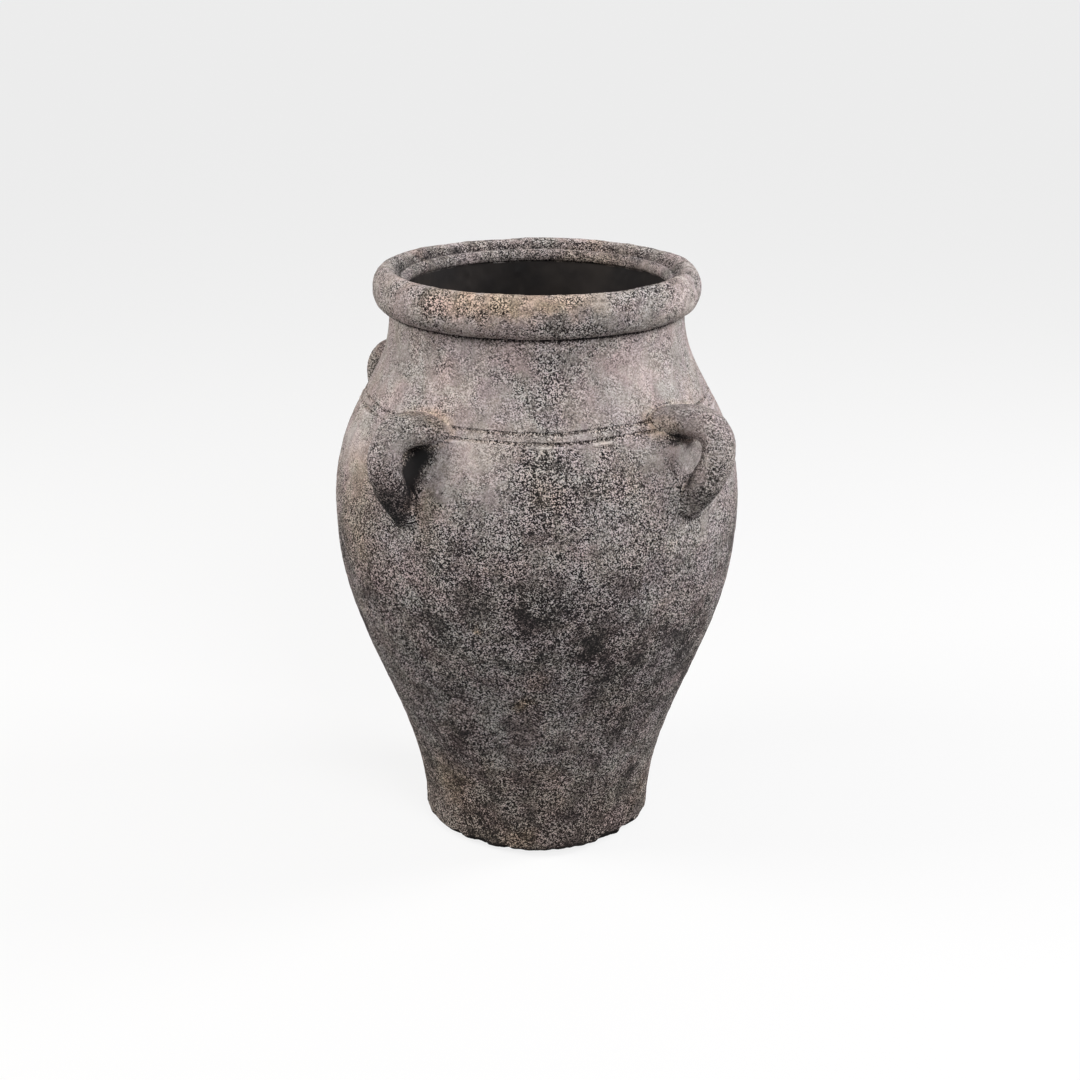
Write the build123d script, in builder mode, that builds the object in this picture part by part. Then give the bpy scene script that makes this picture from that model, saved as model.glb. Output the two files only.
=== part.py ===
from build123d import *
import os

# Three-handled hydria jar, made as a potter makes one: a floor slab, four thrown wall courses
# luted edge to edge, a rolled rim round the lip and three strap handles pressed onto the shoulder.
# Millimetres and degrees, +Z up, origin at the centre of the base, on the ground.

# Wall outline: two S-curves, foot to belly and belly to neck, upright at their ends
BEVEL_HEIGHT = 8.0
BEVEL_DEPTH = 13.6
FOOT_RADIUS = 122.6
BELLY_RADIUS = 208.4
NECK_RADIUS = 147.7
BELLY_RISE = 346.0
SHOULDER_RISE = 199.0
FOOT_PULL = 124.0
LOWER_BELLY_PULL = 135.0
UPPER_BELLY_PULL = 108.0
NECK_PULL = 69.5
WALL = 14.0

# Courses: the floor, and the rise of the first and third courses from the joint below them
FLOOR_THICKNESS = 16.0
LOWER_COURSE_RISE = 164.0
SHOULDER_COURSE_RISE = 114.0

# Potter's V joint: the wedge edge of each course stands in a groove in the piece below it
TONGUE_WIDTH = 7.0
TONGUE_HEIGHT = 5.0

# Two incised lines round the shoulder, the lower one along the joint of shoulder and neck
LINE_SPACING = 8.0
LINE_RADIUS = 1.8

# Rolled rim: an oval coil round and over the neck's lip, with a bead of the lip inside it
ROLL_WIDTH = 29.0
ROLL_HEIGHT = 42.0
ROLL_RISE = 26.0
ROLL_OFFSET = 1.3
ROLL_SEAT_DEPTH = 4.0
LIP_DROP = 10.0
LIP_THICKNESS = 6.3
BEAD_REACH = 4.2
BEAD_HEIGHT = 12.0

# Strap handles: a wide root on the shoulder, a bowed strap and a narrow tail on the belly
ROOT_DROP = 2.0
ROOT_BURY = 18.0
CROOK_REACH = 12.0
CROOK_RISE = 7.0
CORNER_REACH = 35.0
CORNER_RISE = 2.0
CREST_DROP = 16.0
BEND_DROP = 50.0
BEND_SHIFT = 10.0
TAIL_DROP = 75.0
TAIL_BURY = 10.0
FINGER_GAP = 22.0
ROOT_WIDTH = 74.0
CROOK_WIDTH = 53.0
STRAP_WIDTH = 34.5
TAIL_WIDTH = 24.0
ROOT_THICKNESS = 31.0
STRAP_THICKNESS = 32.5
TAIL_THICKNESS = 24.0

# Share of the strap's length at which its sections stand, between the root and the tail
CROOK_SHARE = 0.2
CREST_SHARE = 0.45
BEND_SHARE = 0.72

# How the maker set each handle: its turn round the jar, the lean of its tail to the right, its lift
MIDDLE_TURN = 1.7
MIDDLE_LEAN = 2.0
MIDDLE_LIFT = 0.0
RIGHT_TURN = 91.0
RIGHT_LEAN = -14.0
RIGHT_LIFT = 0.0
LEFT_TURN = -89.0
LEFT_LEAN = 0.0
LEFT_LIFT = 7.0

# Heights and radii that follow from the sizes above
belly_height = BEVEL_HEIGHT + BELLY_RISE
neck_height = belly_height + SHOULDER_RISE
lower_joint = FLOOR_THICKNESS + LOWER_COURSE_RISE
neck_joint = belly_height + SHOULDER_COURSE_RISE
roll_radius = NECK_RADIUS + ROLL_OFFSET
roll_height = neck_height + ROLL_RISE
seat_height = roll_height - ROLL_HEIGHT / 2 + ROLL_SEAT_DEPTH
lip_height = roll_height + ROLL_HEIGHT / 2 - LIP_DROP
neck_bore = NECK_RADIUS - WALL
lip_radius = neck_bore + LIP_THICKNESS
clear_radius = BELLY_RADIUS + WALL


def wall_curves(inset):
    """Draw the wall's two S-curves, foot to belly and belly to neck, set in by inset."""
    Bezier(
        (FOOT_RADIUS - inset, BEVEL_HEIGHT),
        (FOOT_RADIUS - inset, BEVEL_HEIGHT + FOOT_PULL),
        (BELLY_RADIUS - inset, belly_height - LOWER_BELLY_PULL),
        (BELLY_RADIUS - inset, belly_height),
    )
    Bezier(
        (BELLY_RADIUS - inset, belly_height),
        (BELLY_RADIUS - inset, belly_height + UPPER_BELLY_PULL),
        (NECK_RADIUS - inset, neck_height - NECK_PULL),
        (NECK_RADIUS - inset, neck_height),
    )


# Outer line of the wall, read below for the radius at any height
with BuildLine(Plane.XZ) as outer_line:
    wall_curves(0)


def wall_radius(height):
    """Outer radius of the wall at a height, found by halving along its outer line."""
    line = outer_line.wire()
    low = 0.0
    high = 1.0
    for _ in range(40):
        middle = (low + high) / 2
        if (line @ middle).Z < height:
            low = middle
        else:
            high = middle
    return (line @ low).X


def joint_line(height):
    """Points of a V joint across the wall at a height, from the axis outwards."""
    middle = wall_radius(height) - WALL / 2
    return [
        (0, height),
        (middle - TONGUE_WIDTH / 2, height),
        (middle, height - TONGUE_HEIGHT),
        (middle + TONGUE_WIDTH / 2, height),
        (clear_radius, height),
    ]


def keep_between(lower_edge, upper_edge):
    """Keep the part of the sketch between two lines that run from the axis outwards."""
    Polygon(*lower_edge, *reversed(upper_edge), mode=Mode.INTERSECT)


def incised_lines():
    """Draw the round sections of the two incised lines, on the wall's outer face."""
    for height in (neck_joint, neck_joint + LINE_SPACING):
        with Locations((wall_radius(height), height)):
            Circle(LINE_RADIUS)


# Section of the whole body, filled to the axis
with BuildSketch(Plane.XZ) as body_section:
    with BuildLine():
        wall_curves(0)
        Polyline(
            (NECK_RADIUS, neck_height),
            (NECK_RADIUS, seat_height),
            (0, seat_height),
            (0, 0),
            (FOOT_RADIUS - BEVEL_DEPTH, 0),
            (FOOT_RADIUS, BEVEL_HEIGHT),
        )
    make_face()

# Section of the wall alone
with BuildSketch(Plane.XZ) as wall_section:
    add(body_section.sketch_local)
    with BuildLine():
        wall_curves(WALL)
        Polyline(
            (neck_bore, neck_height),
            (neck_bore, seat_height),
            (0, seat_height),
            (0, BEVEL_HEIGHT),
            (FOOT_RADIUS - WALL, BEVEL_HEIGHT),
        )
    make_face(mode=Mode.SUBTRACT)

# Solid outer form of the body, which the handles are trimmed to
with BuildPart() as body_form:
    add(body_section.sketch)
    revolve(axis=Axis.Z)

ground_edge = [(0, 0), (clear_radius, 0)]
seat_edge = [(0, seat_height), (clear_radius, seat_height)]

# Floor slab with its bevelled lower edge and a groove for the first course
with BuildPart() as floor_slab:
    with BuildSketch(Plane.XZ):
        add(body_section.sketch_local)
        keep_between(ground_edge, joint_line(FLOOR_THICKNESS))
    revolve(axis=Axis.Z)

# First course: the concave foot
with BuildPart() as lower_wall:
    with BuildSketch(Plane.XZ):
        add(wall_section.sketch_local)
        keep_between(joint_line(FLOOR_THICKNESS), joint_line(lower_joint))
    revolve(axis=Axis.Z)

# Second course: up to the widest line
with BuildPart() as belly_wall:
    with BuildSketch(Plane.XZ):
        add(wall_section.sketch_local)
        keep_between(joint_line(lower_joint), joint_line(belly_height))
    revolve(axis=Axis.Z)

# Third course: in from the widest line to the lower incised line
with BuildPart() as shoulder_wall:
    with BuildSketch(Plane.XZ):
        add(wall_section.sketch_local)
        keep_between(joint_line(belly_height), joint_line(neck_joint))
    revolve(axis=Axis.Z)
    with BuildSketch(Plane.XZ):
        incised_lines()
    revolve(axis=Axis.Z, mode=Mode.SUBTRACT)

# Fourth course: the neck, with its seat for the rim and the upright lip with an inner bead
with BuildPart() as neck_collar:
    with BuildSketch(Plane.XZ):
        add(wall_section.sketch_local)
        keep_between(joint_line(neck_joint), seat_edge)
        with Locations((neck_bore, lip_height)):
            Rectangle(LIP_THICKNESS, lip_height - seat_height, align=(Align.MIN, Align.MAX))
        with Locations((neck_bore, lip_height - BEAD_HEIGHT / 2)):
            Ellipse(BEAD_REACH, BEAD_HEIGHT / 2)
    revolve(axis=Axis.Z)
    with BuildSketch(Plane.XZ):
        incised_lines()
    revolve(axis=Axis.Z, mode=Mode.SUBTRACT)

# Rim: the oval coil, less the neck and the lip that it sits on
with BuildPart() as rim_roll:
    with BuildSketch(Plane.XZ):
        with Locations((roll_radius, roll_height)):
            Ellipse(ROLL_WIDTH / 2, ROLL_HEIGHT / 2)
        with Locations((lip_radius, lip_height)):
            Rectangle(ROLL_WIDTH, ROLL_HEIGHT, align=(Align.MAX, Align.MAX), mode=Mode.SUBTRACT)
        with Locations((NECK_RADIUS, seat_height)):
            Rectangle(ROLL_WIDTH, ROLL_HEIGHT, align=(Align.MAX, Align.MAX), mode=Mode.SUBTRACT)
    revolve(axis=Axis.Z)

# Handles: each a loft along a bowed path in its own upright plane, trimmed to the body
HANDLES = [
    ("handle_middle", MIDDLE_TURN, MIDDLE_LEAN, MIDDLE_LIFT),
    ("handle_right", RIGHT_TURN, RIGHT_LEAN, RIGHT_LIFT),
    ("handle_left", LEFT_TURN, LEFT_LEAN, LEFT_LIFT),
]
handle_parts = []
for handle_name, turn, lean, lift in HANDLES:
    root_height = neck_joint - ROOT_DROP + lift
    upright = Plane(origin=(0, 0, root_height), x_dir=(1, 0, 0), z_dir=(0, -1, 0))
    handle_plane = upright.rotated((lean, 0, 0)).rotated((0, 0, turn - 90))
    root_radius = wall_radius(root_height)
    crest_radius = wall_radius(root_height - CREST_DROP) + FINGER_GAP + STRAP_THICKNESS / 2
    tail_radius = wall_radius(root_height - TAIL_DROP) - TAIL_BURY
    with BuildPart() as handle:
        with BuildLine(handle_plane) as strap_path:
            Spline(
                (root_radius - ROOT_BURY, 0),
                (root_radius + CROOK_REACH, CROOK_RISE),
                (root_radius + CORNER_REACH, CORNER_RISE),
                (crest_radius, -CREST_DROP),
                (crest_radius - BEND_SHIFT, -BEND_DROP),
                (tail_radius, -TAIL_DROP),
            )
        sections = [
            (0, ROOT_WIDTH, ROOT_THICKNESS),
            (CROOK_SHARE, CROOK_WIDTH, STRAP_THICKNESS),
            (CREST_SHARE, STRAP_WIDTH, STRAP_THICKNESS),
            (BEND_SHARE, STRAP_WIDTH, STRAP_THICKNESS),
            (1, TAIL_WIDTH, TAIL_THICKNESS),
        ]
        for share, width, thickness in sections:
            centre = strap_path.wire() @ share
            along = strap_path.wire() % share
            with BuildSketch(Plane(origin=centre, x_dir=handle_plane.z_dir, z_dir=along)):
                Ellipse(width / 2, thickness / 2)
        loft()
        add(body_form.part, mode=Mode.SUBTRACT)
    handle.part.label = handle_name
    handle_parts.append(handle.part)

floor_slab.part.label = "floor_slab"
lower_wall.part.label = "lower_wall"
belly_wall.part.label = "belly_wall"
shoulder_wall.part.label = "shoulder_wall"
neck_collar.part.label = "neck_collar"
rim_roll.part.label = "rim_roll"

os.makedirs("parts", exist_ok=True)
body_parts = [floor_slab, lower_wall, belly_wall, shoulder_wall, neck_collar, rim_roll]
for piece in [builder.part for builder in body_parts] + handle_parts:
    export_step(piece, f"parts/{piece.label}.step")
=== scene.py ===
"""Dress the hydria jar: a coarse, hand-built terracotta water jar, weathered grey and charcoal.

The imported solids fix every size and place, in metres: +Z is up and the base stands on the ground.
Each piece made here stands for one solid, and adds what the maker's hands and the weather left on it.
An azimuth is in degrees round the jar, 0 at -Y, where the middle handle is, and 90 at +X.
"""

import logging
import math
from collections.abc import Callable, Iterator
from contextlib import contextmanager
from dataclasses import dataclass, field
from enum import Enum
from functools import reduce

import bpy
import numpy as np
from mathutils import Matrix, Vector


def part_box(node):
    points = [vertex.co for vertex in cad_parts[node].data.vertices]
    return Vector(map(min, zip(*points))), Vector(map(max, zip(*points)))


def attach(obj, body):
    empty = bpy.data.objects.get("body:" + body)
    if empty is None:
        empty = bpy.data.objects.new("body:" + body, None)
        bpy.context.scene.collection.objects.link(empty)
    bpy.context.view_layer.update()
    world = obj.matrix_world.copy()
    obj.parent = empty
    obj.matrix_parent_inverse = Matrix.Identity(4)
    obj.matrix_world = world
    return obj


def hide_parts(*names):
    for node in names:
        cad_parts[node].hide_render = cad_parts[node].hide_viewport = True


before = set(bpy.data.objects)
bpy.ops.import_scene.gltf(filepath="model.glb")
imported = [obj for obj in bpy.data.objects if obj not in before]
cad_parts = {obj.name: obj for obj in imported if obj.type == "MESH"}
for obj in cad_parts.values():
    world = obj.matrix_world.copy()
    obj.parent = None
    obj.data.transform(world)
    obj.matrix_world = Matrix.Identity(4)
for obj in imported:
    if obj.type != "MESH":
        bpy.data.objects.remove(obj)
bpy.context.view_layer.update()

LOG = logging.getLogger("hydria_jar")
BODY = "root"
PHOTO_AZIMUTH = 40.5

Node = bpy.types.Node
Socket = bpy.types.NodeSocket
Piece = bpy.types.Object
Profile = list[tuple[float, float]]
Triple = tuple[float, float, float]


def around(azimuth: float, radius: float, height: float) -> Vector:
    """Place a point by its azimuth, its distance from the axis and its height.

    Args:
        azimuth: Degrees round the jar.
        radius: Distance from the jar's axis.
        height: Height above the ground.

    Returns:
        The point in the jar's frame.
    """
    turn = math.radians(azimuth)
    return Vector((radius * math.sin(turn), -radius * math.cos(turn), height))


def even_steps(low: float, high: float, step: float) -> list[float]:
    """Divide a length evenly.

    Args:
        low: Where the length starts.
        high: Where it ends, above or below the start.
        step: The widest step allowed.

    Returns:
        The places of the divisions, both ends among them.
    """
    count = max(1, math.ceil(abs(high - low) / step))
    return [low + (high - low) * number / count for number in range(count + 1)]


def closeness(away: np.ndarray, reach: float, start: float = 1.0) -> np.ndarray:
    """How close each vertex is: from a start, 1 less with each reach away, between 0 and 1."""
    return np.clip(start - np.abs(away) / reach, 0, 1)


def from_axis(places: np.ndarray) -> np.ndarray:
    """Distance of each place from the jar's axis."""
    return np.hypot(places[:, 0], places[:, 1])


@dataclass(frozen=True)
class WallLine:
    """Outer line of the wall: two S-curves, foot to belly and belly to neck, upright at their ends."""

    belly_radius: float
    belly_height: float
    foot_radius: float = 0.1226
    neck_radius: float = 0.1477
    foot_height: float = 0.008
    neck_height: float = 0.553
    thickness: float = 0.014
    foot_pull: float = 0.124
    lower_belly_pull: float = 0.135
    upper_belly_pull: float = 0.108
    neck_pull: float = 0.0695
    halvings: int = 30

    @property
    def bore(self) -> float:
        """Inner radius of the neck."""
        return self.neck_radius - self.thickness

    @staticmethod
    def _bend(ends: tuple[float, float, float, float], share: float) -> float:
        """Find a value on a cubic curve.

        Args:
            ends: The curve's two ends and, between them, its two pulls.
            share: Share of the way along it.

        Returns:
            The value there.
        """
        rest = 1 - share
        first, second, third, last = ends
        return (rest**3 * first + 3 * rest**2 * share * second
                + 3 * rest * share**2 * third + share**3 * last)

    def radius(self, height: float) -> float:
        """Find the outer radius at a height.

        Args:
            height: Height above the ground.

        Returns:
            The wall's outer radius there.
        """
        foot, belly, neck = self.foot_radius, self.belly_radius, self.neck_radius
        if height <= self.foot_height:
            return foot
        if height >= self.neck_height:
            return neck
        if height < self.belly_height:
            heights = (self.foot_height, self.foot_height + self.foot_pull,
                       self.belly_height - self.lower_belly_pull, self.belly_height)
            radii = (foot, foot, belly, belly)
        else:
            heights = (self.belly_height, self.belly_height + self.upper_belly_pull,
                       self.neck_height - self.neck_pull, self.neck_height)
            radii = (belly, belly, neck, neck)
        low, high = 0.0, 1.0
        for _ in range(self.halvings):
            middle = (low + high) / 2
            if self._bend(heights, middle) < height:
                low = middle
            else:
                high = middle
        return self._bend(radii, low)


@dataclass(frozen=True)
class JarSizes:
    """The heights and widths that the pieces share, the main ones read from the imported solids."""

    wall: WallLine
    floor_joint: float
    lower_joint: float
    neck_joint: float
    lip_height: float
    roll_low: float
    roll_high: float
    roll_outer: float
    roll_width: float = 0.029
    seat_depth: float = 0.004
    lip_thickness: float = 0.0063
    bead_height: float = 0.012
    line_spacing: float = 0.008
    line_radius: float = 0.0018
    tongue_width: float = 0.007
    tongue_height: float = 0.005

    @classmethod
    def from_frame(cls) -> "JarSizes":
        """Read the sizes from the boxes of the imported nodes.

        Returns:
            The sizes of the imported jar.
        """
        roll_low, roll_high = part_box("rim_roll")
        belly_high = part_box("belly_wall")[1]
        return cls(
            wall=WallLine(belly_radius=belly_high.x, belly_height=belly_high.z),
            floor_joint=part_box("floor_slab")[1].z,
            lower_joint=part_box("lower_wall")[1].z,
            neck_joint=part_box("shoulder_wall")[1].z,
            lip_height=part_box("neck_collar")[1].z,
            roll_low=roll_low.z,
            roll_high=roll_high.z,
            roll_outer=roll_high.x,
        )

    @property
    def lines(self) -> tuple[float, float]:
        """Heights of the two incised lines, the lower one along the joint of shoulder and neck."""
        return self.neck_joint, self.neck_joint + self.line_spacing

    @property
    def lip_radius(self) -> float:
        """Outer radius of the lip that the rim's roll goes round."""
        return self.wall.bore + self.lip_thickness

    @property
    def seat_height(self) -> float:
        """Height of the seat of the rim's roll on the neck."""
        return self.roll_low + self.seat_depth

    @property
    def bead_low(self) -> float:
        """Height at which the bead inside the lip starts."""
        return self.lip_height - self.bead_height

    def joint(self, height: float) -> Profile:
        """Draw the V joint under a course, from the outside in.

        Args:
            height: Height of the joint.

        Returns:
            The points of the wedge that stands in the piece below.
        """
        middle = self.wall.radius(height) - self.wall.thickness / 2
        side = self.tongue_width / 2
        return [(middle + side, height), (middle, height - self.tongue_height), (middle - side, height)]

    def lined_radius(self, height: float) -> float:
        """Find the outer radius with the incised lines cut in.

        Args:
            height: Height above the ground.

        Returns:
            The radius there.
        """
        depth = max(0.0, *(self.line_radius**2 - (height - line)**2 for line in self.lines))
        return self.wall.radius(height) - math.sqrt(depth)


class Bench:
    """The modelling moves that the pieces share."""

    MERGE = 1e-6
    SEED_SIZE = 0.01

    @staticmethod
    def clear() -> None:
        """Go back to object mode and deselect everything."""
        if bpy.context.object and bpy.context.object.mode != "OBJECT":
            bpy.ops.object.mode_set(mode="OBJECT")
        bpy.ops.object.select_all(action="DESELECT")

    @staticmethod
    def pick(piece: Piece) -> None:
        """Make a piece the only one selected."""
        Bench.clear()
        piece.select_set(True)
        bpy.context.view_layer.objects.active = piece

    @staticmethod
    @contextmanager
    def editing(piece: Piece) -> Iterator[None]:
        """Work on a piece in edit mode, at first with all of it selected.

        Args:
            piece: The piece to work on.

        Yields:
            Nothing: the piece is in edit mode until the block ends.
        """
        Bench.pick(piece)
        bpy.ops.object.mode_set(mode="EDIT")
        bpy.ops.mesh.select_all(action="SELECT")
        yield
        bpy.ops.object.mode_set(mode="OBJECT")

    @staticmethod
    def named(name: str) -> Piece:
        """Name the piece that was just added, and its mesh."""
        piece = bpy.context.object
        piece.name = piece.data.name = name
        return piece

    @staticmethod
    def draw(name: str, profile: Profile) -> Piece:
        """Draw a section in the XZ plane by extruding one vertex from point to point.

        Args:
            name: Name of the new piece.
            profile: The section's points as (radius, height); a closed section repeats its first point.

        Returns:
            The new piece, a wire, in object mode.
        """
        Bench.clear()
        bpy.ops.mesh.primitive_plane_add(size=Bench.SEED_SIZE)
        piece = Bench.named(name)
        points = [Vector((radius, 0, height)) for radius, height in profile]
        with Bench.editing(piece):
            bpy.ops.mesh.merge(type="CENTER")
            bpy.ops.transform.translate(value=points[0])
            for here, there in zip(points, points[1:]):
                bpy.ops.mesh.extrude_vertices_move(TRANSFORM_OT_translate={"value": there - here})
            bpy.ops.mesh.select_all(action="SELECT")
            bpy.ops.mesh.remove_doubles(threshold=Bench.MERGE)
        return piece

    @staticmethod
    def modify(piece: Piece, kind: str, **settings: object) -> None:
        """Add a modifier to a piece and apply it.

        Args:
            piece: The piece to change.
            kind: The modifier's type.
            settings: Its settings by name.
        """
        Bench.pick(piece)
        bpy.ops.object.modifier_add(type=kind)
        modifier = piece.modifiers[-1]
        for name, value in settings.items():
            setattr(modifier, name, value)
        bpy.ops.object.modifier_apply(modifier=modifier.name)

    @staticmethod
    def turn(piece: Piece, steps: int, angle: float = math.tau) -> None:
        """Turn a drawn section round the jar's axis into a closed skin.

        Args:
            piece: The drawn section.
            steps: Number of steps round.
            angle: How far round to turn it.
        """
        Bench.modify(piece, "SCREW", axis="Z", angle=angle, steps=steps, render_steps=steps,
                     use_merge_vertices=angle == math.tau, merge_threshold=Bench.MERGE)
        with Bench.editing(piece):
            bpy.ops.mesh.remove_doubles(threshold=Bench.MERGE)
            if angle < math.tau:
                bpy.ops.mesh.select_all(action="DESELECT")
                bpy.ops.mesh.select_non_manifold()
                bpy.ops.mesh.edge_face_add()
                bpy.ops.mesh.select_all(action="SELECT")
            bpy.ops.mesh.normals_make_consistent(inside=False)

    @staticmethod
    def set_down(piece: Piece, place: Matrix) -> None:
        """Move a piece and make its place part of its mesh."""
        Bench.pick(piece)
        piece.matrix_world = place
        bpy.ops.object.transform_apply(location=True, rotation=True, scale=True)

    @staticmethod
    def smooth(piece: Piece, angle: float) -> None:
        """Shade a piece smooth, with edges sharper than an angle in degrees kept."""
        Bench.pick(piece)
        bpy.ops.object.shade_smooth_by_angle(angle=math.radians(angle))

    @staticmethod
    def vectors(piece: Piece, name: str) -> np.ndarray:
        """Read a vector of every vertex, its place or its normal, as rows of x, y and z."""
        values = np.empty(len(piece.data.vertices) * 3, np.float32)
        piece.data.vertices.foreach_get(name, values)
        return values.reshape(-1, 3)


class Wiring:
    """Adds nodes to one tree and links them, in shader trees and geometry trees alike."""

    def __init__(self, tree: bpy.types.NodeTree) -> None:
        """Take the tree to work in."""
        self.tree = tree

    def node(self, kind: str, inputs: object = (), **settings: object) -> Node:
        """Add a node.

        Args:
            kind: Its type.
            inputs: What its inputs get: outputs or fixed values, in order, or by name in a dict.
            settings: Its plain settings by name.

        Returns:
            The new node.
        """
        made = self.tree.nodes.new(kind)
        for name, value in settings.items():
            setattr(made, name, value)
        for key, value in inputs.items() if isinstance(inputs, dict) else enumerate(inputs):
            self.feed(made.inputs[key], value)
        return made

    def feed(self, socket: Socket, value: object) -> None:
        """Link a socket to an output, or give it a fixed value.

        Args:
            socket: The input to feed.
            value: A field, an output of a node or a fixed value.
        """
        source = value.socket if isinstance(value, Output) else value
        if isinstance(source, Socket):
            self.tree.links.new(source, socket)
        else:
            socket.default_value = source

    def field(self, kind: str, inputs: object = (), output: str | int = 0, **settings: object) -> "Field":
        """Add a node and take one of its outputs as a number."""
        return Field(self, self.node(kind, inputs, **settings).outputs[output])

    def vectors(self, kind: str, inputs: object = (), output: str | int = 0,
                **settings: object) -> "VectorField":
        """Add a node and take one of its outputs as a vector."""
        return VectorField(self, self.node(kind, inputs, **settings).outputs[output])


class Output:
    """An output of a node, with the wiring that it belongs to."""

    def __init__(self, wiring: Wiring, socket: Socket) -> None:
        """Take an output of the wiring's tree."""
        self.wiring = wiring
        self.socket = socket


def number_math(operation: str) -> Callable[..., "Field"]:
    """Make a method that adds a math node on its own field and the values given to it."""
    return lambda own, *values: own.wiring.field("ShaderNodeMath", (own, *values), operation=operation)


def vector_math(operation: str) -> Callable[..., "VectorField"]:
    """Make a method that adds a vector math node on its own field and the values given to it."""
    return lambda own, *values: own.wiring.vectors("ShaderNodeVectorMath", (own, *values),
                                                   operation=operation)


def vector_measure(operation: str) -> Callable[..., "Field"]:
    """Make a method that adds such a node and takes the number that it gives."""
    return lambda own, *values: own.wiring.field("ShaderNodeVectorMath", (own, *values), "Value",
                                                 operation=operation)


class Field(Output):
    """A number that changes from place to place, to reckon with."""

    __add__ = __radd__ = number_math("ADD")
    __sub__ = number_math("SUBTRACT")
    __mul__ = number_math("MULTIPLY")
    __truediv__ = number_math("DIVIDE")
    __abs__ = number_math("ABSOLUTE")
    root = number_math("SQRT")
    most = number_math("MAXIMUM")
    least = number_math("MINIMUM")
    above = number_math("GREATER_THAN")

    def __rsub__(self, other: float) -> "Field":
        """Take this field away from a number."""
        return self.wiring.field("ShaderNodeMath", (other, self), operation="SUBTRACT")

    def along(self, direction: object) -> "VectorField":
        """Give this as a length along a fixed direction, or as the strength of a fixed colour."""
        scaled = {0: direction, "Scale": self}
        return self.wiring.vectors("ShaderNodeVectorMath", scaled, operation="SCALE")

    def between(self, low: float, high: float, start: float = 0.0, end: float = 1.0) -> "Field":
        """Run smoothly from start to end as this goes from low to high, level outside."""
        return self.wiring.field("ShaderNodeMapRange", (self, low, high, start, end),
                                 interpolation_type="SMOOTHSTEP")

    def mix(self, first: object, second: object) -> "VectorField":
        """Mix two colours, with this as the second one's share.

        Args:
            first: A colour, or a field of colours.
            second: Another.

        Returns:
            The mixed colour.
        """
        made = self.wiring.node("ShaderNodeMix", {"Factor": self}, data_type="RGBA")
        colours = [socket for socket in made.inputs if socket.type == "RGBA"]
        for socket, value in zip(colours, (first, second)):
            self.wiring.feed(socket, (*value, 1.0) if isinstance(value, tuple) else value)
        return VectorField(self.wiring, next(socket for socket in made.outputs if socket.type == "RGBA"))


class VectorField(Output):
    """A place, a direction or a colour that changes from place to place, to reckon with."""

    __add__ = vector_math("ADD")
    __sub__ = vector_math("SUBTRACT")
    __truediv__ = vector_math("DIVIDE")
    by_parts = vector_math("MULTIPLY")
    unit = vector_math("NORMALIZE")
    length = vector_measure("LENGTH")
    dot = vector_measure("DOT_PRODUCT")

    def __mul__(self, other: object) -> "VectorField":
        """Scale the vector.

        Args:
            other: A number or a field for all of it, or a vector, part by part.

        Returns:
            The scaled vector.
        """
        if not isinstance(other, (float, Field)):
            return self.by_parts(other)
        scaled = {0: self, "Scale": other}
        return self.wiring.vectors("ShaderNodeVectorMath", scaled, operation="SCALE")

    def parts(self) -> list[Field]:
        """Split the vector into x, y and z."""
        made = self.wiring.node("ShaderNodeSeparateXYZ", (self,))
        return [Field(self.wiring, socket) for socket in made.outputs]

    def cells(self, size: float) -> tuple[Field, "VectorField"]:
        """Scatter points over the places, one to a cell.

        Args:
            size: Size of a cell.

        Returns:
            The distance to the nearest point, and that point's own random colour.
        """
        made = self.wiring.node("ShaderNodeTexVoronoi", {"Vector": self, "Scale": 1 / size})
        distance, colour = made.outputs["Distance"], made.outputs["Color"]
        return Field(self.wiring, distance), VectorField(self.wiring, colour)


@dataclass(frozen=True)
class Ramp:
    """A smooth change from start to end as a number goes from low to high."""

    low: float
    high: float
    start: float = 0.0
    end: float = 1.0

    def of(self, value: Field) -> Field:
        """Follow a field up or down the ramp."""
        return value.between(self.low, self.high, self.start, self.end)


@dataclass(frozen=True)
class Cloud:
    """Cloudy noise: the size of its largest lumps, its finer layers and the share that each one keeps."""

    size: float
    layers: float = 2.0
    keep: float = 0.5

    def _node(self, place: VectorField) -> Node:
        """Add the noise, read at a place."""
        return place.wiring.node("ShaderNodeTexNoise", {
            "Vector": place, "Scale": 1 / self.size, "Detail": self.layers, "Roughness": self.keep})

    def at(self, place: VectorField) -> Field:
        """The noise at each place, from 0 to 1."""
        return Field(place.wiring, self._node(place).outputs[0])

    def ripple(self, place: VectorField, height: float) -> Field:
        """The noise as a height about zero, from about -height to height."""
        return (self.at(place) - 0.5) * (2 * height)

    def drift(self, place: VectorField, reach: float) -> VectorField:
        """The noise as a small move of each place, up to about half the reach each way."""
        colour = VectorField(place.wiring, self._node(place).outputs[1])
        return (colour - (0.5, 0.5, 0.5)) * reach


@dataclass(frozen=True)
class Patchy:
    """Patches made of cloudy noise: bare below the ramp and full above it."""

    cloud: Cloud
    ramp: Ramp

    def at(self, place: VectorField) -> Field:
        """The strength of the patches at each place."""
        return self.ramp.of(self.cloud.at(place))


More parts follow.
